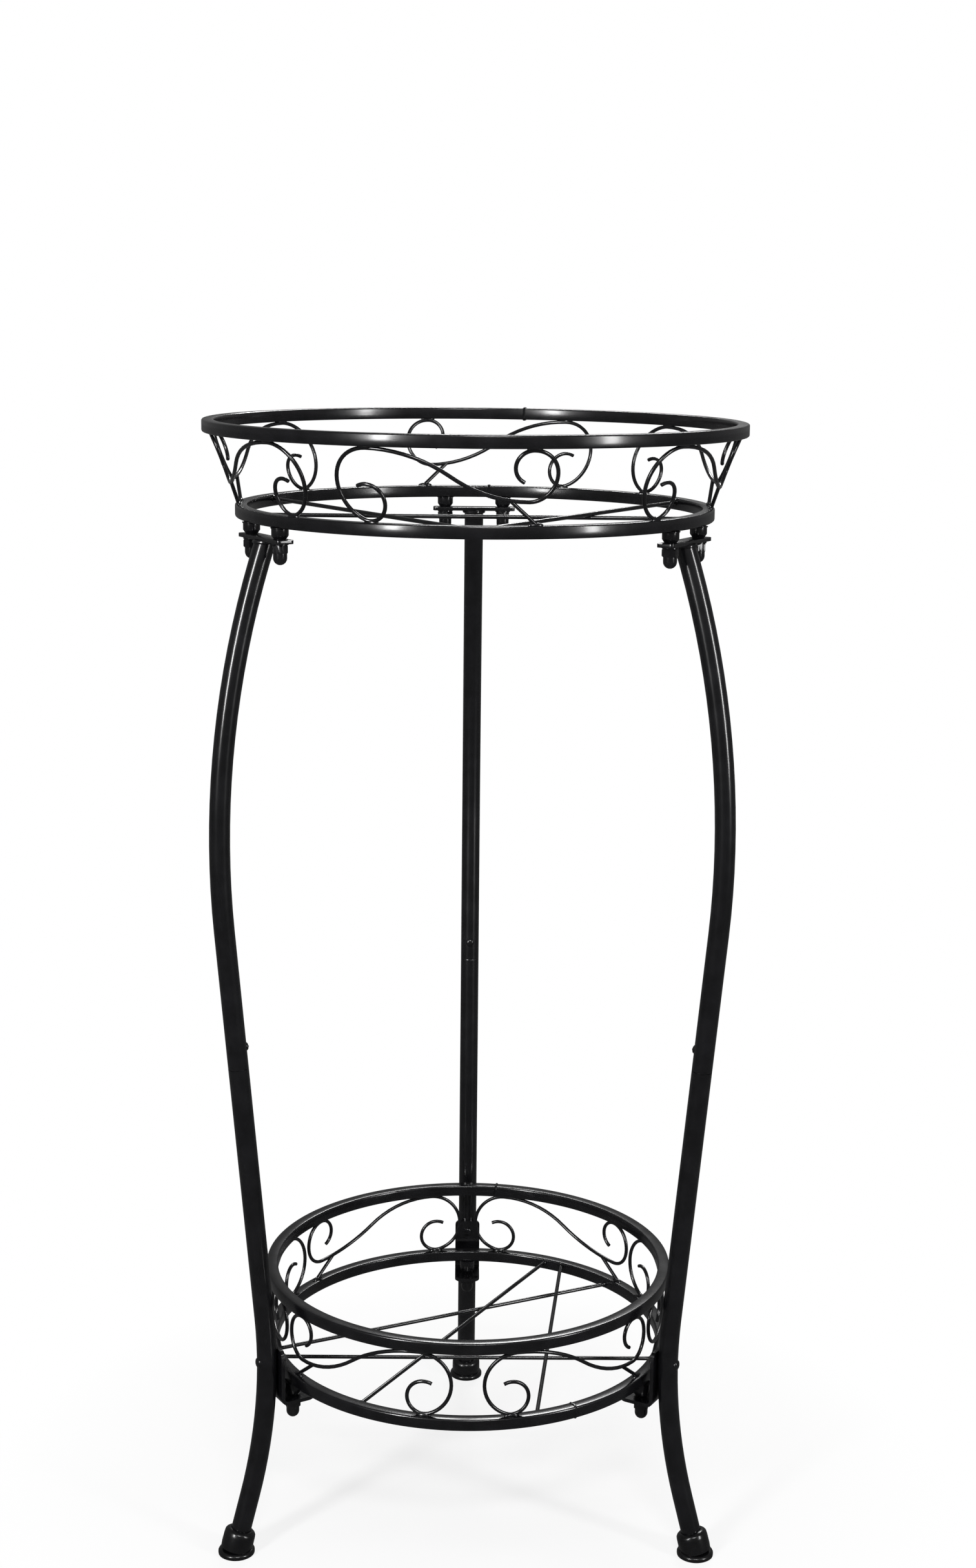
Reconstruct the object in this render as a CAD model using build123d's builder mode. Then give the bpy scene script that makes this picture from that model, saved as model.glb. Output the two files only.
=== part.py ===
from build123d import *
import os
from math import acos, atan2, ceil, cos, degrees, hypot, pi, radians, sin, sqrt

# Two-tier plant stand. Millimetres, +Z up, the origin on the floor in the middle of the bounding box.
# The front is -Y. One leg stands at the back (+Y) and the other two at the front left and front right.
# Everything is drawn about the axis of the rings and moved forward a little when it is saved.

# Round bars and turned pieces are drawn with flat sides, their corners on the true circle
tube_sides = 12
wire_sides = 5
turned_sides = 8
cap_sides = 12
support_sides = 6

# Rings, bent from square tube and drawn solid
ring_tube = 9.5
upper_guard_outer_radius = 212.0
upper_base_outer_radius = 187.0
lower_outer_radius = 168.0
upper_base_height = 829.5
lower_base_height = 138.0
upper_tray_gap = 55.5
lower_tray_gap = 53.5

# Legs, each of two tubes joined by an inner sleeve
leg_tube = 16.0
leg_wall = 1.2
leg_angles = {"back": 90.0, "front_left": 210.0, "front_right": 330.0}
foot_radius = 216.0
waist_radius = 186.0
waist_height = 160.0
waist_bend = 400.0
bulge_radius = 221.3
bulge_height = 585.0
crown_overrun = 1.5
end_socket_spare = 1.0
joint_height = 410.0
joint_gap = 0.4
sleeve_length = 64.0
sleeve_wall = 1.2
sleeve_clearance = 0.1

# Joint screw, through the inner side of the upper tube into the sleeve
joint_screw_offset = 16.0
joint_screw_radius = 2.0
joint_screw_head_radius = 3.6
joint_screw_head_height = 1.8
joint_screw_length = 4.4

# Foot caps
cap_sole = 4.5
cap_socket_clearance = 0.1
cap_body_radius = 12.6
cap_top_radius = 10.0
cap_shoulder = 4.0
cap_length = 21.0
cap_flange_radius = 15.2
cap_flange_edge_radius = 14.2
cap_flange_height = 4.0
cap_flange_edge = 1.0
cap_flange_offset = 1.5

# Seats of the rings: turned studs, strip brackets, washers and domed nuts
boss_radius = 6.5
boss_neck_radius = 4.6
boss_taper = 2.4
upper_boss_height = 8.5
lower_boss_height = 12.0
stud_radius = 3.1
stud_clearance = 0.2
upper_stud_pitch = 49.4
bracket_thickness = 3.0
upper_bracket_length = 70.0
upper_bracket_width = 14.0
upper_bracket_corner = 2.5
plug_length = 26.0
plug_clearance = 0.15
washer_radius = 6.4
washer_thickness = 1.2
nut_across_flats = 11.1
nut_hex_height = 6.2
nut_dome_radius = 5.2
nut_dome_steps = 3
nut_height = 15.0
nut_roof = 3.0

# Angle brackets that carry the lower tray, each held by a sleeve nut and a screw through the leg
lower_bracket_width = 22.0
lower_bracket_nose = 16.0
lower_bracket_nose_corner = 7.0
lower_bracket_rise = 10.0
lower_bracket_top_corner = 4.0
lower_bracket_bend = 4.5
screw_radius = 2.0
screw_head_radius = 4.0
screw_head_height = 2.6
head_edge = 0.8
screw_clearance = 0.2
screw_length = 9.0
sleeve_nut_radius = 2.9
sleeve_nut_head_radius = 4.4
sleeve_nut_head_height = 1.4
sleeve_nut_crown_radius = 3.0
sleeve_nut_length = 12.5
sleeve_nut_bore = 5.0

# Scrolls between the rings of each tray
scroll_wire = 3.0
weld_bite = 0.05
near_curl_radius = 13.5
near_curl_turn = 20.0
near_curl_tip = 118.0
arm_run = 115.0
far_curl_radius = 18.5
far_tip_radius = 12.0
far_tip_sweep = 155.0
tie_run = 22.0
tie_offset = 14.0
curl_sag = 0.5
lower_scrolls = [(4.5, 1), (-4.5, -1), (119.5, -1), (-119.5, 1), (177.5, -1), (-177.5, 1)]
upper_scrolls = [(-30.4, 1), (-39.5, -1), (38.8, 1), (136.4, -1), (-136.4, 1), (149.6, 1)]

# Support wires inside each base ring, given by the azimuths of their two ends
support_wire = 3.2
support_drop = 3.4
support_overrun = 8.0
upper_support_first = [(-75.3, 75.3)]
upper_support_second = [(-1.2, -113.0), (1.2, 113.0)]
lower_support_first = [(-73.3, 73.3), (-79.0, 130.0)]
lower_support_second = [(-32.0, 154.0), (20.0, 148.0)]

half_tube = ring_tube / 2
upper_guard_height = upper_base_height + ring_tube + upper_tray_gap
lower_guard_height = lower_base_height + ring_tube + lower_tray_gap
upper_base_line = upper_base_outer_radius - half_tube
upper_guard_line = upper_guard_outer_radius - half_tube
lower_line = lower_outer_radius - half_tube
upper_plate_top = upper_base_height - upper_boss_height
lower_plate_top = lower_base_height - lower_boss_height
upper_plate_bottom = upper_plate_top - bracket_thickness
lower_plate_bottom = lower_plate_top - bracket_thickness
upper_plate_radius = sqrt(upper_base_line**2 - (upper_stud_pitch / 2) ** 2)
leg_outer = leg_tube / 2
leg_bore = leg_outer - leg_wall
leg_face = leg_outer * cos(pi / tube_sides)
flange_face = waist_radius - leg_face - bracket_thickness
stud_length = bracket_thickness + washer_thickness + nut_height - nut_roof
back_reach = foot_radius - cap_flange_offset + cap_flange_radius * cos(pi / cap_sides)
axis_setback = (back_reach - upper_guard_outer_radius) / 2


def azimuth_point(radius, azimuth, height):
    """Point at an azimuth counted from the front (-Y), positive towards +X."""
    turn = radians(azimuth)
    return Vector(radius * sin(turn), -radius * cos(turn), height)


def flat(vector):
    """The two flat coordinates of a vector, for a line drawn in a plane of its own."""
    return vector.X, vector.Y


def leg_plane(angle):
    """Upright plane through the middle of the stand: x runs out to the leg at this angle, y up."""
    turn = radians(angle)
    return Plane(origin=(0, 0, 0), x_dir=(cos(turn), sin(turn), 0), z_dir=(sin(turn), -cos(turn), 0))


def level_plane(angle, radial, tangential, height):
    """Level plane at a radial and a tangential distance, its x along the ring beside the leg."""
    turn = radians(angle)
    outwards = Vector(cos(turn), sin(turn), 0)
    along = Vector(-sin(turn), cos(turn), 0)
    origin = outwards * radial + along * tangential + Vector(0, 0, height)
    return Plane(origin=origin, x_dir=along, z_dir=(0, 0, 1))


def radial_plane(angle, radial, height, facing=-1):
    """Upright plane square to the leg's azimuth, facing the middle (-1) or outwards (1)."""
    turn = radians(angle)
    outwards = Vector(cos(turn), sin(turn), 0)
    along = Vector(-sin(turn), cos(turn), 0)
    return Plane(origin=outwards * radial + Vector(0, 0, height), x_dir=along, z_dir=outwards * facing)


# Leg centre line in its upright plane: foot run, waist bend, middle run and crown bend
crown_rise = upper_plate_bottom - bulge_height
crown_drop = bulge_radius - upper_plate_radius
crown_bend = (crown_rise**2 + crown_drop**2) / (2 * crown_drop)
waist_centre = Vector(waist_radius + waist_bend, waist_height)
crown_centre = Vector(bulge_radius - crown_bend, bulge_height)
centre_span = waist_centre - crown_centre
run_lean = atan2(-centre_span.Y, centre_span.X) - acos((waist_bend + crown_bend) / centre_span.length)
foot_point = Vector(foot_radius, 0)
foot_span = waist_centre - foot_point
foot_lean = atan2(foot_span.Y, foot_span.X) - acos(waist_bend / foot_span.length)
foot_direction = Vector(-sin(foot_lean), cos(foot_lean))
run_direction = Vector(sin(run_lean), cos(run_lean))
foot_bend_start = waist_centre - Vector(cos(foot_lean), sin(foot_lean)) * waist_bend
run_start = waist_centre - Vector(cos(run_lean), -sin(run_lean)) * waist_bend
run_end = crown_centre + Vector(cos(run_lean), -sin(run_lean)) * crown_bend
joint_point = run_start + run_direction * ((joint_height - run_start.Y) / run_direction.Y)
crown_lean = atan2(crown_rise, upper_plate_radius - crown_centre.X)


def square_plane(angle, point, direction):
    """Plane square to the leg's centre line at a point, its x level along the ring."""
    base = leg_plane(angle)
    origin = base.from_local_coords(point)
    return Plane(origin=origin, x_dir=-base.z_dir, z_dir=base.from_local_coords(direction))


def run_plane(angle, along=0.0):
    """Plane square to the leg's middle run, this far above the joint along the run."""
    return square_plane(angle, joint_point + run_direction * along, run_direction)


def joint_screw_plane(angle):
    """Plane on the inner face of the upper tube, where the joint screw's head sits."""
    run = run_plane(angle, joint_screw_offset)
    return Plane(origin=run.origin + run.y_dir * leg_face, x_dir=run.x_dir, z_dir=run.y_dir)


def save(part, name):
    """Move one finished piece into the row's frame, label it and write its STEP file."""
    placed = part.moved(Location((0, -axis_setback, 0)))
    placed.label = name
    export_step(placed, f"parts/{name}.step")


def turned(plane, steps, sides):
    """Turned piece with flat sides, from its rising heights above a plane and its radii there."""
    face_share = cos(pi / sides)
    with BuildPart() as made:
        for (low, low_radius), (high, high_radius) in zip(steps, steps[1:]):
            if high > low:
                narrowing = degrees(atan2((low_radius - high_radius) * face_share, high - low))
                with BuildSketch(plane.offset(low)):
                    RegularPolygon(low_radius, sides, rotation=180 / sides)
                extrude(amount=high - low, taper=narrowing)
    return made.part


def ring(outer_radius, height):
    """Closed ring of square bar."""
    with BuildPart() as made:
        with BuildSketch(Plane.XZ):
            with Locations((outer_radius - half_tube, height + half_tube)):
                Rectangle(ring_tube, ring_tube)
        revolve(axis=Axis.Z)
    return made.part


def arc_points(centre, radius, start, turned_by):
    """Points along an arc after its start, close enough for chords within the curl sag."""
    count = ceil(abs(turned_by) / degrees(2 * acos(1 - curl_sag / radius)))
    turns = [radians(start + turned_by * index / count) for index in range(1, count + 1)]
    return [(centre[0] + radius * cos(turn), centre[1] + radius * sin(turn)) for turn in turns]


def scroll_outline(gap):
    """Flat scroll for this gap as points (along the ring, height), and the top of its tie."""
    low = scroll_wire / 2 - weld_bite
    high = gap - low
    turn = radians(near_curl_turn)
    outer_radius = (high - low - near_curl_radius * (1 - cos(turn))) / (1 + cos(turn))
    outer_centre = (outer_radius, high - outer_radius)
    offset = outer_radius - near_curl_radius
    curl_centre = (outer_centre[0] - offset * sin(turn), outer_centre[1] - offset * cos(turn))
    tip_turn = radians(near_curl_tip)
    tip_x = curl_centre[0] + near_curl_radius * cos(tip_turn)
    tip_y = curl_centre[1] + near_curl_radius * sin(tip_turn)
    far_x = outer_radius + arm_run
    far_low = high - 2 * far_curl_radius
    arm_turn = 2 * atan2(high - far_low, arm_run)
    arm_degrees = degrees(arm_turn)
    arm_radius = arm_run / sin(arm_turn) / 2
    points = [(tip_x, tip_y)]
    points += arc_points(curl_centre, near_curl_radius, near_curl_tip, -90 - near_curl_tip)
    points += arc_points(curl_centre, near_curl_radius, 270, -near_curl_turn)
    points += arc_points(outer_centre, outer_radius, 270 - near_curl_turn, near_curl_turn - 180)
    points += arc_points((outer_radius, high - arm_radius), arm_radius, 90, -arm_degrees)
    points += arc_points((far_x, far_low + arm_radius), arm_radius, 270 - arm_degrees, arm_degrees)
    points += arc_points((far_x, high - far_curl_radius), far_curl_radius, 270, 180)
    points += arc_points((far_x, high - far_tip_radius), far_tip_radius, 90, far_tip_sweep)
    tie_top = (far_x - tie_offset, far_low + tie_offset**2 / (2 * arm_radius))
    return points, tie_top


def scrolls(starts, base_line, guard_line, base_top, gap):
    """The scrolls of one tray, each one bent wire with its short tie to the base ring."""
    slope = (guard_line - base_line) / (gap + ring_tube)
    middle_line = (base_line + guard_line) / 2
    outline, tie_top = scroll_outline(gap)
    tie_foot = (tie_top[0] + tie_run, -scroll_wire)

    def on_tray(point, start, direction):
        """Carry a point of the flat scroll onto the wall between the two rings."""
        radius = base_line + slope * (point[1] + half_tube)
        azimuth = start + direction * degrees(point[0] / middle_line)
        return azimuth_point(radius, azimuth, base_top + point[1])

    with BuildPart() as made:
        for start, direction in starts:
            with BuildLine() as path:
                Polyline(*[on_tray(point, start, direction) for point in outline])
            with BuildSketch(Plane(origin=path.line @ 0, z_dir=path.line % 0)):
                RegularPolygon(scroll_wire / 2, wire_sides)
            sweep(path=path.line, transition=Transition.RIGHT)
            top = on_tray(tie_top, start, direction)
            foot = on_tray(tie_foot, start, direction)
            with BuildSketch(Plane(origin=foot, z_dir=top - foot)):
                RegularPolygon(scroll_wire / 2, wire_sides)
            extrude(amount=(top - foot).length)
        split(bisect_by=Plane.XY.offset(base_top - weld_bite), keep=Keep.TOP)
    return made.part


def supports(first, second, inner_radius, base_height):
    """Straight wires across a base ring in two layers, welded together where they cross."""
    first_height = base_height + support_drop
    second_height = first_height + support_wire - weld_bite
    with BuildPart() as made:
        for layer, height in ((first, first_height), (second, second_height)):
            for one, other in layer:
                start = azimuth_point(inner_radius, one, height)
                end = azimuth_point(inner_radius, other, height)
                middle = Plane(origin=(start + end) / 2, x_dir=(0, 0, 1), z_dir=end - start)
                with BuildSketch(middle):
                    RegularPolygon(support_wire / 2, support_sides)
                extrude(amount=(end - start).length / 2 + support_overrun, both=True)
        with BuildSketch(Plane.XY.offset(base_height)):
            Circle(inner_radius)
        extrude(amount=ring_tube, mode=Mode.INTERSECT)
    return made.part


def leg_section(plane, radius):
    """Many-sided section of a leg or of what fits in it, with a flat side on the inner side."""
    with BuildSketch(plane) as section:
        RegularPolygon(radius, tube_sides, rotation=180 / tube_sides)
    return section.sketch


def lower_leg(angle):
    """Lower tube of a leg, cut level in its foot cap, drilled for the tray's sleeve nut."""
    inner_face = radial_plane(angle, waist_radius - leg_face, waist_height)
    outer_face = radial_plane(angle, waist_radius + leg_face, waist_height, 1)
    screw_way = screw_radius + screw_clearance
    nut_way = [(-sleeve_nut_length, sleeve_nut_radius), (1, sleeve_nut_radius)]
    with BuildPart() as made:
        with BuildLine(leg_plane(angle)) as path:
            foot_run = Line(flat(foot_point), flat(foot_bend_start))
            bend = JernArc(foot_run @ 1, foot_run % 1, waist_bend, -degrees(foot_lean + run_lean))
            Line(bend @ 1, flat(joint_point - run_direction * joint_gap / 2))
        with BuildSketch(square_plane(angle, foot_point, foot_direction)):
            RegularPolygon(leg_outer, tube_sides, rotation=180 / tube_sides)
        sweep(path=path.line)
        split(bisect_by=Plane.XY.offset(cap_sole), keep=Keep.TOP)
        with BuildSketch(run_plane(angle)):
            RegularPolygon(leg_bore, tube_sides, rotation=180 / tube_sides)
        extrude(amount=-sleeve_length / 2 - end_socket_spare, mode=Mode.SUBTRACT)
        add(turned(inner_face, [(-leg_face, screw_way), (1, screw_way)], turned_sides), mode=Mode.SUBTRACT)
        add(turned(outer_face, nut_way, turned_sides), mode=Mode.SUBTRACT)
    return made.part


def upper_leg(angle):
    """Upper tube of a leg, cut level under its strip bracket, with the hole for the joint screw."""
    plug_lean, plug_start, plug_direction = plug_seat()
    screw_way = [(-leg_face, joint_screw_radius), (1, joint_screw_radius)]
    with BuildPart() as plug_way:
        with BuildLine(leg_plane(angle)) as path:
            JernArc(flat(plug_start), flat(plug_direction), crown_bend, degrees(plug_lean) + crown_overrun)
        with BuildSketch(square_plane(angle, plug_start, plug_direction)):
            RegularPolygon(leg_bore, tube_sides, rotation=180 / tube_sides)
        sweep(path=path.line)
    with BuildPart() as made:
        with BuildLine(leg_plane(angle)) as path:
            run = Line(flat(joint_point + run_direction * joint_gap / 2), flat(run_end))
            JernArc(run @ 1, run % 1, crown_bend, degrees(run_lean + crown_lean) + crown_overrun)
        with BuildSketch(run_plane(angle, joint_gap / 2)):
            RegularPolygon(leg_outer, tube_sides, rotation=180 / tube_sides)
        sweep(path=path.line)
        add(plug_way.part, mode=Mode.SUBTRACT)
        split(bisect_by=Plane.XY.offset(upper_plate_bottom), keep=Keep.BOTTOM)
        with BuildSketch(run_plane(angle)):
            RegularPolygon(leg_bore, tube_sides, rotation=180 / tube_sides)
        extrude(amount=sleeve_length / 2 + end_socket_spare, mode=Mode.SUBTRACT)
        add(turned(joint_screw_plane(angle), screw_way, turned_sides), mode=Mode.SUBTRACT)
    return made.part


def joint_sleeve(angle):
    """Inner sleeve, pressed into the lower tube and a sliding fit in the upper one."""
    screw_way = [(-leg_face, joint_screw_radius), (1, joint_screw_radius)]
    with BuildPart() as made:
        with BuildSketch(run_plane(angle, -sleeve_length / 2)):
            RegularPolygon(leg_bore, tube_sides, rotation=180 / tube_sides)
        extrude(amount=sleeve_length / 2)
        with BuildSketch(run_plane(angle)):
            RegularPolygon(leg_bore - sleeve_clearance, tube_sides, rotation=180 / tube_sides)
        extrude(amount=sleeve_length / 2)
        with BuildSketch(run_plane(angle, -sleeve_length / 2)):
            RegularPolygon(leg_bore - sleeve_wall, tube_sides, rotation=180 / tube_sides)
        extrude(amount=sleeve_length, mode=Mode.SUBTRACT)
        add(turned(joint_screw_plane(angle), screw_way, turned_sides), mode=Mode.SUBTRACT)
    return made.part


def pan_screw(plane, shank_radius, head_radius, head_height, length):
    """Screw with a low bevelled head standing on a plane and its shank reaching down below it."""
    head = [(0, head_radius), (head_height - head_edge, head_radius), (head_height, head_radius - head_edge)]
    with BuildPart() as made:
        add(turned(plane, [(-length, shank_radius), (0, shank_radius)], turned_sides))
        add(turned(plane, head, turned_sides))
    return made.part


def foot_cap(angle):
    """Moulded cap with a flat sole, a round flange and a leaning socket for the leg."""
    lean = square_plane(angle, foot_point, foot_direction)
    base = level_plane(angle, foot_radius - cap_flange_offset, 0, 0)
    body = [
        (-cap_shoulder, cap_body_radius),
        (cap_length - cap_shoulder, cap_body_radius),
        (cap_length, cap_top_radius),
    ]
    flange = [
        (0, cap_flange_radius),
        (cap_flange_height - cap_flange_edge, cap_flange_radius),
        (cap_flange_height, cap_flange_edge_radius),
    ]
    with BuildPart() as socket:
        with BuildSketch(lean):
            RegularPolygon(leg_outer + cap_socket_clearance, tube_sides, rotation=180 / tube_sides)
        extrude(amount=2 * cap_length)
        split(bisect_by=Plane.XY.offset(cap_sole), keep=Keep.TOP)
    with BuildPart() as made:
        add(turned(lean, body, cap_sides))
        split(bisect_by=Plane.XY, keep=Keep.TOP)
        add(turned(base, flange, cap_sides))
        add(socket.part, mode=Mode.SUBTRACT)
    return made.part


def ring_studs(places, ring_bottom, boss_height):
    """Turned studs under a base ring: a tapered boss and, below it, the threaded end."""
    reach = boss_height + stud_length
    steps = [
        (-reach, stud_radius),
        (-boss_height, stud_radius),
        (-boss_height, boss_neck_radius),
        (boss_taper - boss_height, boss_radius),
        (0, boss_radius),
    ]
    with BuildPart() as made:
        for place in places:
            add(turned(level_plane(*place, ring_bottom), steps, turned_sides))
    return made.part


def washers(places, plate_bottom):
    """Flat washers under the brackets."""
    with BuildPart() as made:
        for place in places:
            with BuildSketch(level_plane(*place, plate_bottom)):
                RegularPolygon(washer_radius, turned_sides, rotation=180 / turned_sides)
                RegularPolygon(
                    stud_radius + stud_clearance,
                    turned_sides,
                    rotation=180 / turned_sides,
                    mode=Mode.SUBTRACT,
                )
            extrude(amount=-washer_thickness)
    return made.part


def domed_nuts(places, nut_top):
    """Domed nuts, each a hexagon with a round closed end below it and a blind threaded hole."""
    turns = [radians(90 * index / nut_dome_steps) for index in range(nut_dome_steps)]
    dome = [(nut_dome_radius * (1 - cos(turn)), nut_dome_radius * sin(turn)) for turn in turns[1:]]
    dome = [(-nut_height + low, radius) for low, radius in dome]
    dome += [(nut_dome_radius - nut_height, nut_dome_radius), (0, nut_dome_radius)]
    thread = [(nut_roof - nut_height, stud_radius), (1, stud_radius)]
    with BuildPart() as made:
        for place in places:
            level = level_plane(*place, nut_top)
            with BuildSketch(level):
                RegularPolygon(nut_across_flats / 2, 6, major_radius=False)
            extrude(amount=-nut_hex_height)
            add(turned(level, dome, turned_sides))
            add(turned(level, thread, turned_sides), mode=Mode.SUBTRACT)
    return made.part


def plug_seat():
    """Share of the crown bend that the plug fills, its lower end and its direction there."""
    plug_turn = plug_length / crown_bend
    lean = crown_lean - plug_turn
    start = crown_centre + Vector(cos(lean), sin(lean)) * crown_bend
    return plug_turn, start, Vector(-sin(lean), cos(lean))


def top_bracket(angle):
    """Flat strip across the leg top with two stud holes and a plug that fills the tube's end."""
    plug_turn, plug_start, plug_direction = plug_seat()
    with BuildPart() as made:
        with BuildLine(leg_plane(angle)) as path:
            JernArc(flat(plug_start), flat(plug_direction), crown_bend, degrees(plug_turn) + crown_overrun)
        with BuildSketch(square_plane(angle, plug_start, plug_direction)):
            RegularPolygon(leg_bore - plug_clearance, tube_sides, rotation=180 / tube_sides)
        sweep(path=path.line)
        split(bisect_by=Plane.XY.offset(upper_plate_bottom), keep=Keep.BOTTOM)
        with BuildSketch(level_plane(angle, upper_plate_radius, 0, upper_plate_bottom)) as strip:
            Rectangle(upper_bracket_length, upper_bracket_width)
            chamfer(strip.vertices(), upper_bracket_corner)
            with Locations((-upper_stud_pitch / 2, 0), (upper_stud_pitch / 2, 0)):
                RegularPolygon(
                    stud_radius + stud_clearance,
                    turned_sides,
                    rotation=180 / turned_sides,
                    mode=Mode.SUBTRACT,
                )
        extrude(amount=bracket_thickness)
    return made.part


def angle_bracket(angle):
    """Bent strip: a flange flat against the leg's inner side and a level one under the base ring."""
    turn = radians(angle)
    level_middle = lower_plate_top - bracket_thickness / 2
    flange_middle = flange_face + bracket_thickness / 2
    stud_way = [(-bracket_thickness - 1, stud_radius + stud_clearance), (1, stud_radius + stud_clearance)]
    screw_way = [(-bracket_thickness - 1, screw_radius + screw_clearance), (1, screw_radius + screw_clearance)]
    stud_place = level_plane(angle, lower_line, 0, lower_plate_top)
    screw_place = radial_plane(angle, flange_face, waist_height)
    with BuildPart() as made:
        with BuildSketch(leg_plane(angle)):
            with BuildLine():
                FilletPolyline(
                    (lower_line - lower_bracket_nose, level_middle),
                    (flange_middle, level_middle),
                    (flange_middle, waist_height + lower_bracket_rise),
                    radius=lower_bracket_bend,
                )
            trace(line_width=bracket_thickness)
        extrude(amount=lower_bracket_width / 2, both=True)
        upright_edges = made.edges().filter_by(Axis.Z)
        nose = upright_edges.sort_by(lambda edge: hypot(edge.center().X, edge.center().Y))[:2]
        chamfer(nose, lower_bracket_nose_corner)
        radial_edges = made.edges().filter_by(Axis((0, 0, 0), (cos(turn), sin(turn), 0)))
        chamfer(radial_edges.group_by(Axis.Z)[-1], lower_bracket_top_corner)
        add(turned(stud_place, stud_way, turned_sides), mode=Mode.SUBTRACT)
        add(turned(screw_place, screw_way, turned_sides), mode=Mode.SUBTRACT)
    return made.part


def sleeve_nut(angle):
    """Low round head on the leg's outer side with a sleeve that takes the bracket's screw."""
    outer_face = radial_plane(angle, waist_radius + leg_face, waist_height, 1)
    head = [(0, sleeve_nut_head_radius), (sleeve_nut_head_height, sleeve_nut_crown_radius)]
    bore = [(-sleeve_nut_length - 1, screw_radius), (sleeve_nut_bore - sleeve_nut_length, screw_radius)]
    with BuildPart() as made:
        add(turned(outer_face, [(-sleeve_nut_length, sleeve_nut_radius), (0, sleeve_nut_radius)], turned_sides))
        add(turned(outer_face, head, turned_sides))
        add(turned(outer_face, bore, turned_sides), mode=Mode.SUBTRACT)
    return made.part


os.makedirs("parts", exist_ok=True)

save(ring(upper_guard_outer_radius, upper_guard_height), "upper_guard_ring")
save(ring(upper_base_outer_radius, upper_base_height), "upper_base_ring")
save(ring(lower_outer_radius, lower_guard_height), "lower_guard_ring")
save(ring(lower_outer_radius, lower_base_height), "lower_base_ring")

upper_base_top = upper_base_height + ring_tube
lower_base_top = lower_base_height + ring_tube
upper_wall = (upper_base_line, upper_guard_line, upper_base_top, upper_tray_gap)
lower_wall = (lower_line, lower_line, lower_base_top, lower_tray_gap)
save(scrolls(upper_scrolls, *upper_wall), "upper_scrolls")
save(scrolls(lower_scrolls, *lower_wall), "lower_scrolls")

upper_inner_radius = upper_base_outer_radius - ring_tube
lower_inner_radius = lower_outer_radius - ring_tube
upper_wires = supports(upper_support_first, upper_support_second, upper_inner_radius, upper_base_height)
lower_wires = supports(lower_support_first, lower_support_second, lower_inner_radius, lower_base_height)
save(upper_wires, "upper_support_wires")
save(lower_wires, "lower_support_wires")

upper_places = [
    (angle, upper_plate_radius, side * upper_stud_pitch / 2)
    for angle in leg_angles.values()
    for side in (-1, 1)
]
lower_places = [(angle, lower_line, 0) for angle in leg_angles.values()]
save(ring_studs(upper_places, upper_base_height, upper_boss_height), "upper_ring_studs")
save(ring_studs(lower_places, lower_base_height, lower_boss_height), "lower_ring_studs")
save(washers(upper_places, upper_plate_bottom), "upper_washers")
save(washers(lower_places, lower_plate_bottom), "lower_washers")
save(domed_nuts(upper_places, upper_plate_bottom - washer_thickness), "upper_domed_nuts")
save(domed_nuts(lower_places, lower_plate_bottom - washer_thickness), "lower_domed_nuts")

joint_screw = (joint_screw_radius, joint_screw_head_radius, joint_screw_head_height, joint_screw_length)
bracket_screw = (screw_radius, screw_head_radius, screw_head_height, screw_length)
for side, angle in leg_angles.items():
    save(lower_leg(angle), f"leg_lower_{side}")
    save(upper_leg(angle), f"leg_upper_{side}")
    save(joint_sleeve(angle), f"joint_sleeve_{side}")
    save(pan_screw(joint_screw_plane(angle), *joint_screw), f"joint_screw_{side}")
    save(foot_cap(angle), f"foot_cap_{side}")
    save(top_bracket(angle), f"top_bracket_{side}")
    save(angle_bracket(angle), f"angle_bracket_{side}")
    save(sleeve_nut(angle), f"sleeve_nut_{side}")
    save(pan_screw(radial_plane(angle, flange_face, waist_height), *bracket_screw), f"bracket_screw_{side}")
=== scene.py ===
"""Dresses the two-tier plant stand: smooth bent tube, wire scrolls, fittings, welds and finishes."""

import logging
from dataclasses import dataclass, field
from enum import Enum
from functools import cache
from math import acos, atan2, cos, degrees, hypot, pi, radians, sin, sqrt

import bmesh
import bpy
from mathutils import Matrix, Vector


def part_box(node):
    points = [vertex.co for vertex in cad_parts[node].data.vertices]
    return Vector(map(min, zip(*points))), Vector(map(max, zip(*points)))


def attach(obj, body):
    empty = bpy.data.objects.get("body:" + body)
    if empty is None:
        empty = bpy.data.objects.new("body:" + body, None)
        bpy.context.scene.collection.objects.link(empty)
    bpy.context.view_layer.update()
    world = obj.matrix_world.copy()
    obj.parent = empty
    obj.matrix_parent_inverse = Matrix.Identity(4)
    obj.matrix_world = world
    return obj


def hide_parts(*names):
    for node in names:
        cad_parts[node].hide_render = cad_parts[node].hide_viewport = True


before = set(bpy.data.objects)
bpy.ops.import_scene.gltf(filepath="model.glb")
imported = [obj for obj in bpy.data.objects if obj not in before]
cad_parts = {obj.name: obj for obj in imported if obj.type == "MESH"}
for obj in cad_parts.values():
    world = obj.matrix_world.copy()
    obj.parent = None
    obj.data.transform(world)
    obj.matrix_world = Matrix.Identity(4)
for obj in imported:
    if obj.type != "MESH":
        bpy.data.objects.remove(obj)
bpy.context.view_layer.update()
LOG = logging.getLogger("plant_stand")
MM = 0.001
Point = tuple[float, float]
Profile = list[Point]


class Slot(Enum):
    """Names of the material slots."""

    PAINT = "black_paint"
    FASTENER = "black_fastener"
    STEEL = "bare_steel"
    PLASTIC = "cap_plastic"


class Leg(Enum):
    """The three legs by the angle of each one's azimuth from +X, in degrees."""

    BACK = 90.0
    FRONT_LEFT = 210.0
    FRONT_RIGHT = 330.0


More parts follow.
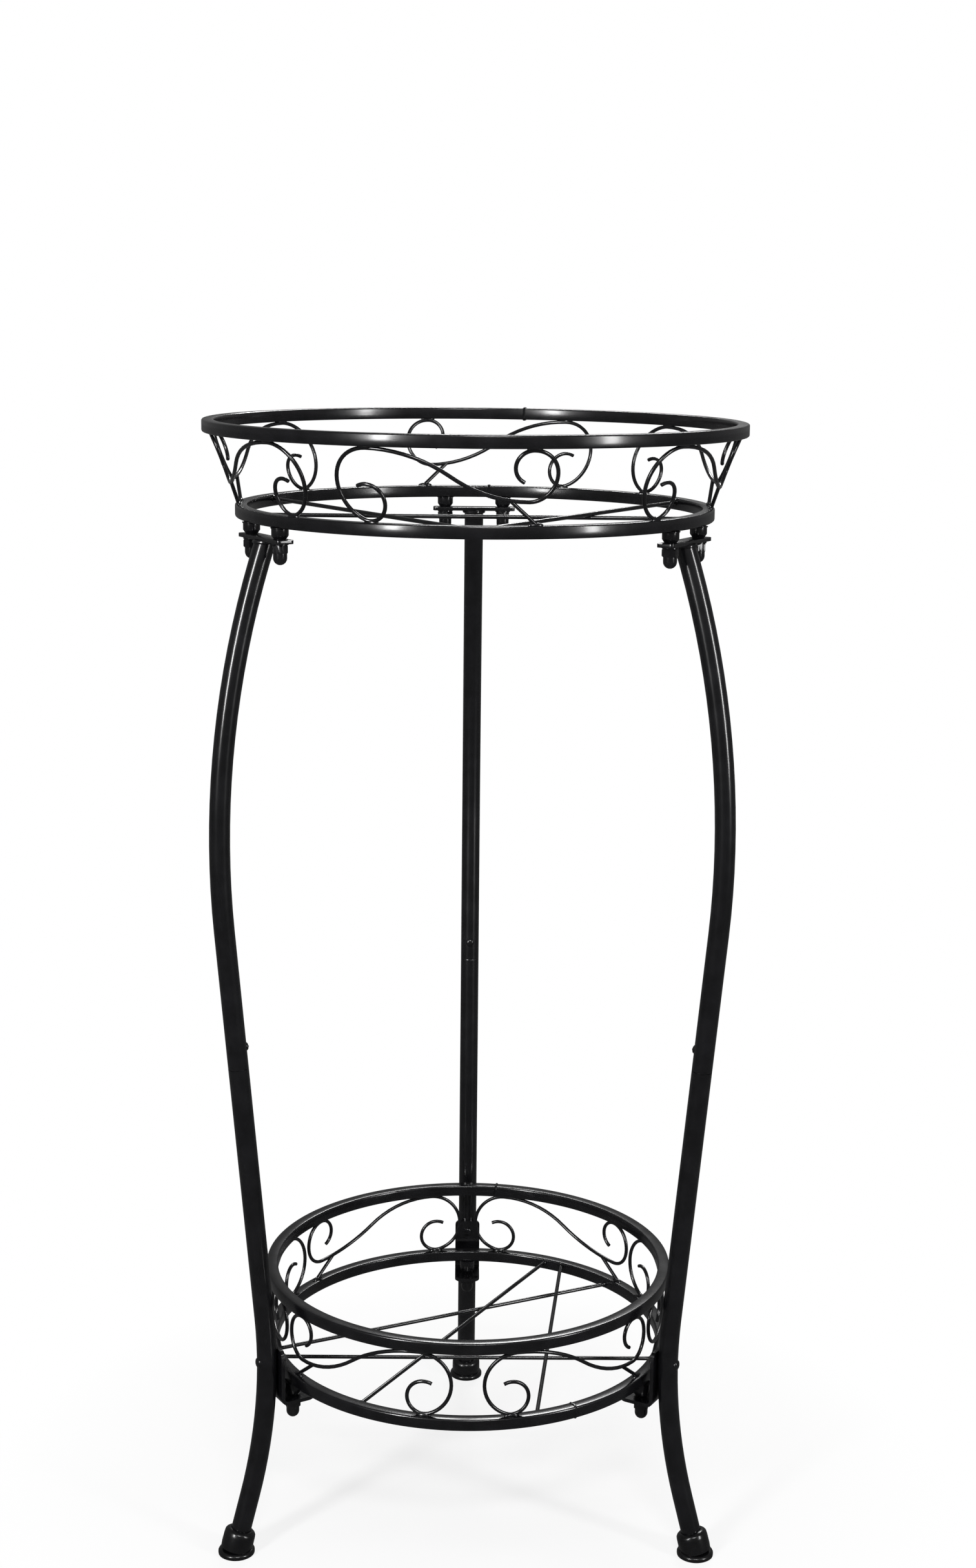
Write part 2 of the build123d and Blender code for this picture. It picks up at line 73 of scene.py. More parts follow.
@dataclass(frozen=True)
class Finish:
    """A procedural surface: base colour with a faint mottle, uneven gloss and a fine grain.

    Args:
        name: Name of the material.
        slot: Material slot that it stands for; not used.
        dark: Darker colour of the mottle.
        light: Lighter colour of the mottle.
        metallic: Metallic share.
        gloss: Lowest and highest roughness.
        coat: Weight of the clear coat.
        grain: Size of the grain in grains per metre.
        bump: Height of the grain in metres.
        coat_roughness: Roughness of the clear coat.
        mottle: Size of the mottle in patches per metre.
        spread: Places on the mottle where the darker and the lighter colour are reached.
        relief: Strength of the grain's relief.
    """

    name: str
    slot: Slot
    dark: tuple[float, float, float]
    light: tuple[float, float, float]
    metallic: float
    gloss: tuple[float, float]
    coat: float
    grain: float
    bump: float
    coat_roughness: float = 0.12
    mottle: float = 60.0
    spread: tuple[float, float] = (0.35, 0.7)
    relief: float = 0.12

    @cache
    def material(self) -> bpy.types.Material:
        """Build this finish's own material once and return the same one afterwards.

        Returns:
            The material with its node tree.
        """
        made = bpy.data.materials.new(self.name)
        made.use_nodes = True
        nodes = made.node_tree.nodes
        links = made.node_tree.links
        shader = nodes["Principled BSDF"]
        shader.inputs["Metallic"].default_value = self.metallic
        shader.inputs["Coat Weight"].default_value = self.coat
        shader.inputs["Coat Roughness"].default_value = self.coat_roughness
        place = nodes.new("ShaderNodeTexCoord")
        mottle = nodes.new("ShaderNodeTexNoise")
        mottle.inputs["Scale"].default_value = self.mottle
        mottle.inputs["Detail"].default_value = 3.0
        links.new(place.outputs["Object"], mottle.inputs["Vector"])
        colours = nodes.new("ShaderNodeValToRGB")
        colours.color_ramp.elements[0].position = self.spread[0]
        colours.color_ramp.elements[0].color = (*self.dark, 1.0)
        colours.color_ramp.elements[1].position = self.spread[1]
        colours.color_ramp.elements[1].color = (*self.light, 1.0)
        links.new(mottle.outputs["Fac"], colours.inputs["Fac"])
        links.new(colours.outputs["Color"], shader.inputs["Base Color"])
        spread = nodes.new("ShaderNodeMapRange")
        spread.inputs["To Min"].default_value = self.gloss[0]
        spread.inputs["To Max"].default_value = self.gloss[1]
        links.new(mottle.outputs["Fac"], spread.inputs["Value"])
        links.new(spread.outputs["Result"], shader.inputs["Roughness"])
        grain = nodes.new("ShaderNodeTexNoise")
        grain.inputs["Scale"].default_value = self.grain
        grain.inputs["Detail"].default_value = 2.0
        links.new(place.outputs["Object"], grain.inputs["Vector"])
        bump = nodes.new("ShaderNodeBump")
        bump.inputs["Distance"].default_value = self.bump
        bump.inputs["Strength"].default_value = self.relief
        links.new(grain.outputs["Fac"], bump.inputs["Height"])
        links.new(bump.outputs["Normal"], shader.inputs["Normal"])
        return made


POWDER_COAT = Finish(
    name="powder_coat",
    slot=Slot.PAINT,
    dark=(0.0025, 0.0025, 0.003),
    light=(0.005, 0.005, 0.006),
    metallic=0.0,
    gloss=(0.17, 0.27),
    coat=0.3,
    grain=900.0,
    bump=4e-5,
)
COATED_FASTENER = Finish(
    name="coated_fastener",
    slot=Slot.FASTENER,
    dark=(0.006, 0.006, 0.007),
    light=(0.014, 0.014, 0.015),
    metallic=0.45,
    gloss=(0.14, 0.26),
    coat=0.25,
    grain=1400.0,
    bump=2e-5,
)
PLAIN_STEEL = Finish(
    name="plain_steel",
    slot=Slot.STEEL,
    dark=(0.38, 0.38, 0.39),
    light=(0.5, 0.5, 0.51),
    metallic=1.0,
    gloss=(0.3, 0.5),
    coat=0.0,
    grain=1500.0,
    bump=2e-5,
)
CAP_PLASTIC = Finish(
    name="moulded_plastic",
    slot=Slot.PLASTIC,
    dark=(0.002, 0.002, 0.0022),
    light=(0.004, 0.004, 0.0045),
    metallic=0.0,
    gloss=(0.2, 0.32),
    coat=0.15,
    grain=1200.0,
    bump=6e-5,
)


def dress(
    mesh: bmesh.types.BMesh, name: str, finish: Finish, nodes: tuple[str, ...] = (), sharp: float = 35.0
) -> bpy.types.Object:
    """Turn a bmesh into a piece of the stand that rides on the only body.

    Args:
        mesh: The finished geometry; it is freed.
        name: Name of the piece.
        finish: Its surface.
        nodes: CAD nodes that it stands for.
        sharp: Edges that turn by more degrees than this stay sharp.

    Returns:
        The linked object.
    """
    bmesh.ops.remove_doubles(mesh, verts=mesh.verts, dist=1e-7)
    bmesh.ops.recalc_face_normals(mesh, faces=mesh.faces)
    for face in mesh.faces:
        face.smooth = True
    for edge in mesh.edges:
        if len(edge.link_faces) == 2 and edge.calc_face_angle() > radians(sharp):
            edge.smooth = False
    data = bpy.data.meshes.new(name)
    mesh.to_mesh(data)
    mesh.free()
    data.materials.append(finish.material())
    piece = bpy.data.objects.new(name, data)
    bpy.context.scene.collection.objects.link(piece)
    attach(piece, "root")
    if nodes:
        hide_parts(*nodes)
    LOG.info("%s: %d faces", name, len(data.polygons))
    return piece


def tube(
    mesh: bmesh.types.BMesh,
    path: list[Vector],
    radius: float,
    sides: int = 16,
    closed: bool = False,
    low: float | None = None,
    high: float | None = None,
) -> None:
    """Add a round tube along a path, with flat ends or closed on itself.

    Args:
        mesh: The bmesh to add to.
        path: Centre line points in metres.
        radius: Tube radius in metres.
        sides: Sides of its section.
        closed: True joins the last ring to the first.
        low: Height at which the first ring is cut level.
        high: Height at which the last ring is cut level.
    """
    count = len(path)
    rings = []
    side = (path[1] - path[0]).normalized().orthogonal().normalized()
    for index in range(count):
        ahead = path[(index + 1) % count] if closed or index < count - 1 else path[index]
        behind = path[index - 1] if closed or index > 0 else path[index]
        way = (ahead - behind).normalized()
        side = (side - way * side.dot(way)).normalized()
        up = way.cross(side)
        ring = []
        for step in range(sides):
            turn = 2 * pi * step / sides
            point = path[index] + side * (radius * cos(turn)) + up * (radius * sin(turn))
            if low is not None and index == 0:
                point += way * ((low - point.z) / way.z)
            if high is not None and index == count - 1:
                point += way * ((high - point.z) / way.z)
            ring.append(mesh.verts.new(point))
        rings.append(ring)
    pairs = list(zip(rings, rings[1:]))
    if closed:
        pairs.append((rings[-1], rings[0]))
    for lower, upper in pairs:
        for step in range(sides):
            after = (step + 1) % sides
            mesh.faces.new((lower[step], lower[after], upper[after], upper[step]))
    if not closed:
        mesh.faces.new(list(reversed(rings[0])))
        mesh.faces.new(rings[-1])


def turned(mesh: bmesh.types.BMesh, place: Matrix, profile: Profile, sides: int = 32) -> None:
    """Add a turned solid from its outline of (radius, height) points about the local z axis.

    Args:
        mesh: The bmesh to add to.
        place: Local frame, with z along the axis.
        profile: Outline from one end to the other, in metres; a radius of 0 is a point.
        sides: Number of steps round the axis.
    """
    rings = []
    for radius, height in profile:
        if radius < 1e-9:
            rings.append([mesh.verts.new(place @ Vector((0, 0, height)))])
            continue
        turns = [2 * pi * step / sides for step in range(sides)]
        points = [Vector((radius * cos(turn), radius * sin(turn), height)) for turn in turns]
        rings.append([mesh.verts.new(place @ point) for point in points])
    for lower, upper in zip(rings, rings[1:]):
        for step in range(sides):
            after = (step + 1) % sides
            corners = [lower[step % len(lower)], lower[after % len(lower)]]
            corners += [upper[after % len(upper)], upper[step % len(upper)]]
            unique = list(dict.fromkeys(corners))
            if len(unique) > 2:
                mesh.faces.new(unique)
    for ring in (rings[0], rings[-1]):
        if len(ring) > 1:
            mesh.faces.new(ring)


def arc(centre: Point, radius: float, start: float, by: float, fine: float = 7.0) -> Profile:
    """Points of an arc after its start, in the flat plane.

    Args:
        centre: Centre of the arc.
        radius: Its radius.
        start: Start angle in degrees.
        by: Degrees turned, negative for clockwise.
        fine: Most degrees between two points.

    Returns:
        The points in order.
    """
    count = max(2, round(abs(by) / fine))
    turns = [radians(start + by * index / count) for index in range(1, count + 1)]
    return [(centre[0] + radius * cos(turn), centre[1] + radius * sin(turn)) for turn in turns]


@dataclass
class Stand:
    """Sizes shared by the whole stand, in millimetres, and its places in the frame."""

    ring_bar: float = 9.5
    upper_guard: float = 212.0
    upper_base: float = 187.0
    lower_ring: float = 168.0
    upper_gap: float = 55.5
    lower_gap: float = 53.5
    upper_boss: float = 8.5
    lower_boss: float = 12.0
    plate: float = 3.0
    washer: float = 1.2
    stud_pitch: float = 49.4
    axis_y: float = field(init=False)
    upper_base_z: float = field(init=False)
    lower_base_z: float = field(init=False)

    def __post_init__(self) -> None:
        """Read the axis and the heights of the base rings from the frame."""
        low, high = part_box("upper_base_ring")
        self.axis_y = (low[1] + high[1]) / 2 / MM
        self.upper_base_z = low[2] / MM
        self.lower_base_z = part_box("lower_base_ring")[0][2] / MM

    @property
    def upper_line(self) -> float:
        """Centre line radius of the upper base ring."""
        return self.upper_base - self.ring_bar / 2

    @property
    def guard_line(self) -> float:
        """Centre line radius of the upper guard ring."""
        return self.upper_guard - self.ring_bar / 2

    @property
    def lower_line(self) -> float:
        """Centre line radius of both lower rings."""
        return self.lower_ring - self.ring_bar / 2

    @property
    def upper_plate(self) -> float:
        """Underside of the strip brackets."""
        return self.upper_base_z - self.upper_boss - self.plate

    @property
    def lower_plate(self) -> float:
        """Underside of the angle brackets."""
        return self.lower_base_z - self.lower_boss - self.plate

    @property
    def top_radial(self) -> float:
        """Distance of the strip brackets from the axis."""
        return sqrt(self.upper_line**2 - (self.stud_pitch / 2) ** 2)

    def round_point(self, radius: float, azimuth: float, height: float) -> Vector:
        """Point at an azimuth counted from the front, positive towards +X."""
        turn = radians(azimuth)
        return Vector((radius * sin(turn), self.axis_y - radius * cos(turn), height)) * MM

    def leg_point(self, leg: Leg, radial: float, height: float, tangential: float = 0.0) -> Vector:
        """Point in a leg's upright plane, or beside it."""
        turn = radians(leg.value)
        x = radial * cos(turn) - tangential * sin(turn)
        y = radial * sin(turn) + tangential * cos(turn)
        return Vector((x, self.axis_y + y, height)) * MM

    def upright(self, leg: Leg, radial: float, height: float, tangential: float = 0.0) -> Matrix:
        """Local frame at a place beside a leg: x along the ring, y outwards, z up."""
        turn = radians(leg.value)
        x_axis = Vector((sin(turn), -cos(turn), 0))
        y_axis = Vector((cos(turn), sin(turn), 0))
        made = Matrix((x_axis, y_axis, Vector((0, 0, 1)))).transposed().to_4x4()
        made.translation = self.leg_point(leg, radial, height, tangential)
        return made

    def along(self, origin: Vector, direction: Vector) -> Matrix:
        """Local frame at a point whose z runs along a direction."""
        made = direction.to_track_quat("Z", "Y").to_matrix().to_4x4()
        made.translation = origin
        return made


@dataclass
class Scroll:
    """Flat shape of one wire scroll, in millimetres along the ring and above the base ring."""

    wire: float = 3.0
    near_radius: float = 13.5
    near_turn: float = 20.0
    near_tip: float = 118.0
    arm: float = 115.0
    far_radius: float = 18.5
    far_tip: float = 12.0
    far_sweep: float = 155.0
    tie_offset: float = 14.0
    tie_run: float = 22.0
    bite: float = 0.25
    arm_fine: float = 4.0
    weld_sink: float = 0.2
    tie_weld: float = 0.93

    def outline(self, gap: float) -> tuple[Profile, Point, Profile]:
        """Shape the wire for one gap between the rings.

        Args:
            gap: Clear height between the base ring and the guard ring.

        Returns:
            The wire's points, the top of its tie and the points welded to the rings.
        """
        low = self.wire / 2 - self.bite
        high = gap - low
        turn = radians(self.near_turn)
        outer = (high - low - self.near_radius * (1 - cos(turn))) / (1 + cos(turn))
        offset = outer - self.near_radius
        outer_centre = (outer, high - outer)
        curl = (outer_centre[0] - offset * sin(turn), outer_centre[1] - offset * cos(turn))
        far_x = outer + self.arm
        far_low = high - 2 * self.far_radius
        bend = 2 * atan2(high - far_low, self.arm)
        arm_radius = self.arm / sin(bend) / 2
        tip = radians(self.near_tip)
        points = [(curl[0] + self.near_radius * cos(tip), curl[1] + self.near_radius * sin(tip))]
        points += arc(curl, self.near_radius, self.near_tip, -90 - self.near_tip - self.near_turn)
        points += arc(outer_centre, outer, 270 - self.near_turn, self.near_turn - 180)
        points += arc((outer, high - arm_radius), arm_radius, 90, -degrees(bend), self.arm_fine)
        low_centre = (far_x, far_low + arm_radius)
        points += arc(low_centre, arm_radius, 270 - degrees(bend), degrees(bend), self.arm_fine)
        points += arc((far_x, high - self.far_radius), self.far_radius, 270, 180)
        points += arc((far_x, high - self.far_tip), self.far_tip, 90, self.far_sweep)
        tie_top = (far_x - self.tie_offset, far_low + self.tie_offset**2 / (2 * arm_radius))
        welds = [
            (curl[0], self.weld_sink),
            (outer, gap - self.weld_sink),
            (far_x, gap - self.weld_sink),
            (tie_top[0] + self.tie_run * self.tie_weld, self.weld_sink),
        ]
        return points, tie_top, welds


@dataclass
class Tray:
    """One tray: guard ring, base ring, scrolls between them, support wires and welds.

    Args:
        stand: Sizes of the whole stand.
        name: upper or lower.
        base_z: Height of the base ring's underside.
        gap: Clear height between the rings.
        base_line: Centre line radius of the base ring.
        guard_line: Centre line radius of the guard ring.
        starts: Azimuth and direction of each scroll.
        first_wires: End azimuths of the lower layer of support wires.
        second_wires: End azimuths of the layer on top of it.
        seams: Azimuths of the closing welds of the base ring and the guard ring.
    """

    stand: Stand
    name: str
    base_z: float
    gap: float
    base_line: float
    guard_line: float
    starts: tuple[tuple[float, int], ...]
    first_wires: tuple[tuple[float, float], ...]
    second_wires: tuple[tuple[float, float], ...]
    seams: tuple[float, float]
    corner: float = 1.3
    ring_steps: int = 180
    support: float = 3.2
    support_drop: float = 3.4
    support_bite: float = 0.25
    support_reach: float = 0.4
    support_weld: tuple[Point, ...] = ((2.7, -0.4), (2.5, 0.8), (1.75, 2.0), (1.5, 2.3))
    seam_sink: float = 0.25
    seam_bead: float = 1.2
    seam_wave: float = 0.14
    drop_half: float = 6.0
    drop_radius: float = 2.1

    def ring(self, line: float, bottom: float, part: str, seam: float) -> None:
        """Make one ring of square bar with rounded edges and its butt weld.

        Args:
            line: Radius of the bar's centre line.
            bottom: Height of its underside.
            part: base or guard.
            seam: Azimuth of the weld that closes it.
        """
        half = self.stand.ring_bar / 2
        inset = half - self.corner
        profile = []
        for quarter, (side_x, side_y) in enumerate(((1, 1), (-1, 1), (-1, -1), (1, -1))):
            for step in range(4):
                turn = radians(90 * quarter + 30 * step)
                x = side_x * inset + self.corner * cos(turn)
                profile.append((x, side_y * inset + self.corner * sin(turn)))
        mesh = bmesh.new()
        rings = []
        for index in range(self.ring_steps):
            azimuth = 360 * index / self.ring_steps
            points = [self.stand.round_point(line + x, azimuth, bottom + half + y) for x, y in profile]
            rings.append([mesh.verts.new(point) for point in points])
        count = len(profile)
        for index, ring in enumerate(rings):
            after = rings[(index + 1) % self.ring_steps]
            for step in range(count):
                following = (step + 1) % count
                mesh.faces.new((ring[step], ring[following], after[following], after[step]))
        dress(mesh, f"{self.name}_{part}_bar", POWDER_COAT, (f"{self.name}_{part}_ring",))
        self.seam(line, bottom + half, seam, part)

    def seam(self, line: float, middle: float, azimuth: float, part: str) -> None:
        """Lay the weld bead that closes a ring round its square section."""
        reach = self.stand.ring_bar / 2 - self.seam_sink
        corners = [(reach, reach), (-reach, reach), (-reach, -reach), (reach, -reach)]
        path = []
        for (x, y), (next_x, next_y) in zip(corners, corners[1:] + corners[:1]):
            for share in (0.15, 0.38, 0.62, 0.85):
                here = azimuth + self.seam_wave * sin(9 * share + x)
                radius = line + (x + (next_x - x) * share)
                path.append(self.stand.round_point(radius, here, middle + (y + (next_y - y) * share)))
        mesh = bmesh.new()
        tube(mesh, path, self.seam_bead * MM, 10, closed=True)
        dress(mesh, f"{self.name}_{part}_seam", POWDER_COAT)

    def on_wall(self, point: tuple[float, float], start: float, direction: int) -> Vector:
        """Carry a flat point onto the wall between the two rings."""
        slope = (self.guard_line - self.base_line) / (self.gap + self.stand.ring_bar)
        middle = (self.base_line + self.guard_line) / 2
        radius = self.base_line + slope * (point[1] + self.stand.ring_bar / 2)
        azimuth = start + direction * degrees(point[0] / middle)
        return self.stand.round_point(radius, azimuth, self.base_z + self.stand.ring_bar + point[1])

    def scrolls(self) -> None:
        """Bend the wire scrolls, add their ties and the weld drops where they meet the rings."""
        shape = Scroll()
        outline, tie_top, welds = shape.outline(self.gap)
        wires = bmesh.new()
        drops = bmesh.new()
        for start, direction in self.starts:
            tie_foot = (tie_top[0] + shape.tie_run, -shape.weld_sink)
            for line in (outline, [tie_top, tie_foot]):
                path = [self.on_wall(point, start, direction) for point in line]
                tube(wires, path, shape.wire / 2 * MM, 12)
            for x, y in welds:
                ahead = self.on_wall((x + 1, y), start, direction)
                self.drop(drops, self.on_wall((x, y), start, direction), ahead)
        dress(wires, f"{self.name}_wire_scrolls", POWDER_COAT, (f"{self.name}_scrolls",), sharp=50.0)
        dress(drops, f"{self.name}_scroll_welds", POWDER_COAT)

    def drop(self, mesh: bmesh.types.BMesh, point: Vector, ahead: Vector) -> None:
        """Add a long low weld drop at a point, lying along the ring."""
        along = (ahead - point).normalized()
        place = self.stand.along(point, along)
        half = self.drop_half * MM
        outline = [(0.0, -half)]
        for turn in (-60, -30, 0, 30, 60):
            outline.append((self.drop_radius * MM * cos(radians(turn)), half * sin(radians(turn))))
        outline.append((0.0, half))
        turned(mesh, place, outline, 12)

    def supports(self) -> None:
        """Lay the straight support wires across the base ring, with their welds."""
        inner = self.base_line - self.stand.ring_bar / 2
        first = self.base_z + self.support_drop
        second = first + self.support - self.support_bite
        layers = ((self.first_wires, first), (self.second_wires, second))
        outline = [(radius * MM, height * MM) for radius, height in self.support_weld]
        wires = bmesh.new()
        drops = bmesh.new()
        for layer, height in layers:
            for one, other in layer:
                start = self.stand.round_point(inner, one, height)
                end = self.stand.round_point(inner, other, height)
                reach = (end - start).normalized() * self.support_reach * MM
                tube(wires, [start - reach, end + reach], self.support / 2 * MM, 16)
                for point, towards in ((start, end), (end, start)):
                    inwards = (towards - point).normalized()
                    turned(drops, self.stand.along(point, inwards), outline, 14)
        dress(wires, f"{self.name}_floor_wires", POWDER_COAT, (f"{self.name}_support_wires",), sharp=50.0)
        dress(drops, f"{self.name}_floor_welds", POWDER_COAT)

    def build(self) -> None:
        """Make every piece of the tray."""
        self.ring(self.base_line, self.base_z, "base", self.seams[0])
        self.ring(self.guard_line, self.base_z + self.stand.ring_bar + self.gap, "guard", self.seams[1])
        self.scrolls()
        self.supports()


@dataclass
class LegSet:
    """The three bowed legs, each of two tubes with an inner sleeve, a screw and a foot cap."""

    stand: Stand
    radius: float = 8.0
    foot: float = 216.0
    waist: float = 186.0
    waist_z: float = 160.0
    waist_bend: float = 400.0
    bulge: float = 221.3
    bulge_z: float = 585.0
    joint_z: float = 410.0
    joint_gap: float = 0.4
    sole: float = 4.5
    screw_offset: float = 16.0
    screw_sink: float = 0.6
    screw_head: Point = (3.6, 2.3)
    sleeve_reach: float = 31.8
    sleeve_radius: float = 6.7
    weld_swell: float = 0.3
    weld_wave: float = 0.18
    weld_drop: float = 0.9
    weld_bead: float = 1.5
    cap_body: tuple[Point, ...] = ((12.4, 4.2), (12.7, 8.0), (12.6, 15.5))
    cap_shoulder: Point = (8.6, 16.8)
    cap_round: float = 4.0
    cap_mouth: tuple[Point, ...] = ((8.3, 20.9), (8.15, 19.0))
    cap_inset: float = 1.5
    cap_flange: tuple[Point, ...] = (
        (13.9, 0.0),
        (14.6, 0.5),
        (14.7, 1.2),
        (14.7, 2.8),
        (14.2, 3.7),
        (13.2, 4.3),
        (12.4, 4.6),
    )

    def __post_init__(self) -> None:
        """Work out the bends and tangent points of the centre line."""
        rise = self.stand.upper_plate - self.bulge_z
        fall = self.bulge - self.stand.top_radial
        self.crown_bend = (rise**2 + fall**2) / (2 * fall)
        self.waist_centre = Vector((self.waist + self.waist_bend, self.waist_z))
        self.crown_centre = Vector((self.bulge - self.crown_bend, self.bulge_z))
        span = self.waist_centre - self.crown_centre
        self.run_lean = atan2(-span.y, span.x) - acos((self.waist_bend + self.crown_bend) / span.length)
        foot_span = self.waist_centre - Vector((self.foot, 0))
        self.foot_lean = atan2(foot_span.y, foot_span.x) - acos(self.waist_bend / foot_span.length)
        self.crown_lean = atan2(rise, self.stand.top_radial - self.crown_centre.x)
        self.run_way = Vector((sin(self.run_lean), cos(self.run_lean)))
        run_start = self.waist_centre - Vector((cos(self.run_lean), -sin(self.run_lean))) * self.waist_bend
        self.joint = run_start + self.run_way * ((self.joint_z - run_start.y) / self.run_way.y)

    def lower_line(self) -> list[Vector]:
        """Centre line of the lower tube, from the foot cap's floor to the joint."""
        turns = [self.foot_lean + (-self.run_lean - self.foot_lean) * step / 14 for step in range(15)]
        line = [Vector((self.foot, 0))]
        line += [self.waist_centre - Vector((cos(turn), sin(turn))) * self.waist_bend for turn in turns]
        line.append(self.joint - self.run_way * (self.joint_gap / 2))
        return line

    def upper_line(self) -> list[Vector]:
        """Centre line of the upper tube, from the joint to the strip bracket."""
        turns = [-self.run_lean + (self.crown_lean + self.run_lean) * step / 18 for step in range(19)]
        line = [self.joint + self.run_way * (self.joint_gap / 2)]
        line += [self.crown_centre + Vector((cos(turn), sin(turn))) * self.crown_bend for turn in turns]
        return line

    def build(self, leg: Leg) -> None:
        """Make one leg.

        Args:
            leg: Which leg.
        """
        side = leg.name.lower()
        lower = bmesh.new()
        path = [self.stand.leg_point(leg, point.x, point.y) for point in self.lower_line()]
        tube(lower, path, self.radius * MM, 40, low=self.sole * MM)
        dress(lower, f"lower_tube_{side}", POWDER_COAT, (f"leg_lower_{side}",), sharp=50.0)
        upper = bmesh.new()
        path = [self.stand.leg_point(leg, point.x, point.y) for point in self.upper_line()]
        tube(upper, path, self.radius * MM, 40, high=self.stand.upper_plate * MM)
        dress(upper, f"upper_tube_{side}", POWDER_COAT, (f"leg_upper_{side}",), sharp=50.0)
        self.sleeve(leg, side)
        self.joint_screw(leg, side)
        self.top_weld(leg, side)
        self.foot_cap(leg, side)

    def sleeve(self, leg: Leg, side: str) -> None:
        """Make the inner sleeve, seen as a thin line between the two tubes."""
        mesh = bmesh.new()
        ends = [self.joint + self.run_way * reach for reach in (-self.sleeve_reach, self.sleeve_reach)]
        tube(mesh, [self.stand.leg_point(leg, end.x, end.y) for end in ends], self.sleeve_radius * MM, 32)
        dress(mesh, f"inner_sleeve_{side}", PLAIN_STEEL, (f"joint_sleeve_{side}",), sharp=50.0)

    def joint_screw(self, leg: Leg, side: str) -> None:
        """Make the rounded screw head on the inner side of the upper tube."""
        middle = self.joint + self.run_way * self.screw_offset
        across = Vector((-self.run_way.y, self.run_way.x))
        seat = middle + across * (self.radius - self.screw_sink)
        origin = self.stand.leg_point(leg, seat.x, seat.y)
        ahead = self.stand.leg_point(leg, seat.x + across.x, seat.y + across.y)
        place = self.stand.along(origin, ahead - origin)
        mesh = bmesh.new()
        turned(mesh, place, round_head(*self.screw_head), 28)
        raised_cross(mesh, place, self.screw_head[1])
        dress(mesh, f"joint_screw_head_{side}", COATED_FASTENER, (f"joint_screw_{side}",))

    def top_weld(self, leg: Leg, side: str) -> None:
        """Lay the weld bead round the leg's top, under the strip bracket."""
        reach = self.radius + self.weld_swell
        height = self.stand.upper_plate - self.weld_drop
        path = []
        for step in range(36):
            turn = 2 * pi * step / 36
            radial = self.stand.top_radial + reach / cos(self.crown_lean) * cos(turn)
            uneven = self.weld_wave * sin(7 * turn)
            path.append(self.stand.leg_point(leg, radial + uneven, height, reach * sin(turn)))
        mesh = bmesh.new()
        tube(mesh, path, self.weld_bead * MM, 10, closed=True)
        dress(mesh, f"top_weld_{side}", POWDER_COAT)

    def foot_cap(self, leg: Leg, side: str) -> None:
        """Make the moulded foot cap: a flange, a leaning body and a rounded lip."""
        way = Vector((-sin(self.foot_lean), cos(self.foot_lean)))
        origin = self.stand.leg_point(leg, self.foot, 0)
        ahead = self.stand.leg_point(leg, self.foot + way.x, way.y)
        place = self.stand.along(origin, ahead - origin)
        body = list(self.cap_body)
        for turn in (20, 40, 60, 80):
            radius = self.cap_shoulder[0] + self.cap_round * cos(radians(turn))
            body.append((radius, self.cap_shoulder[1] + self.cap_round * sin(radians(turn))))
        body += self.cap_mouth
        outline = [(radius * MM, height * MM) for radius, height in body]
        mesh = bmesh.new()
        turned(mesh, place, outline, 48)
        base = self.stand.upright(leg, self.foot - self.cap_inset, 0)
        turned(mesh, base, [(radius * MM, height * MM) for radius, height in self.cap_flange], 48)
        dress(mesh, f"moulded_cap_{side}", CAP_PLASTIC, (f"foot_cap_{side}",))


def round_head(radius: float, height: float) -> Profile:
    """Outline of a rounded screw head in metres, from its seat up to its middle."""
    outline = [(radius * MM, 0.0), (radius * MM, 0.25 * height * MM)]
    for turn in (25, 50, 70, 82):
        rise = 0.25 + 0.75 * sin(radians(turn))
        outline.append((radius * cos(radians(turn)) * MM, rise * height * MM))
    outline.append((0.0, height * MM))
    return outline


def raised_cross(mesh: bmesh.types.BMesh, place: Matrix, height: float) -> None:
    """Add two low crossed bars on a screw head, in place of a cross recess."""
    for turn in (0.0, pi / 2):
        bar = place @ Matrix.Translation((0, 0, (height - 0.02) * MM)) @ Matrix.Rotation(turn, 4, "Z")
        box = bmesh.ops.create_cube(mesh, size=1.0)
        size = Matrix.Diagonal((3.4 * MM, 0.7 * MM, 0.25 * MM, 1.0))
        bmesh.ops.transform(mesh, matrix=bar @ size, verts=box["verts"])


def bevelled_plate(
    mesh: bmesh.types.BMesh, outline: list[Vector], thickness: Vector, edge: float = 0.5
) -> None:
    """Add a flat plate from its outline, with small bevels along its edges.

    Args:
        mesh: The bmesh to add to.
        outline: Corners of one face.
        thickness: Vector from that face to the other one.
        edge: Bevel width in millimetres.
    """
    plate = bmesh.new()
    low = [plate.verts.new(point) for point in outline]
    face = plate.faces.new(low)
    grown = bmesh.ops.extrude_face_region(plate, geom=[face])
    moved = [item for item in grown["geom"] if isinstance(item, bmesh.types.BMVert)]
    bmesh.ops.translate(plate, vec=thickness, verts=moved)
    bmesh.ops.recalc_face_normals(plate, faces=plate.faces)
    edges = list(plate.edges)
    bmesh.ops.bevel(plate, geom=edges, offset=edge * MM, segments=2, affect="EDGES", profile=0.6)
    data = bpy.data.meshes.new("plate")
    plate.to_mesh(data)
    plate.free()
    mesh.from_mesh(data)
    bpy.data.meshes.remove(data)


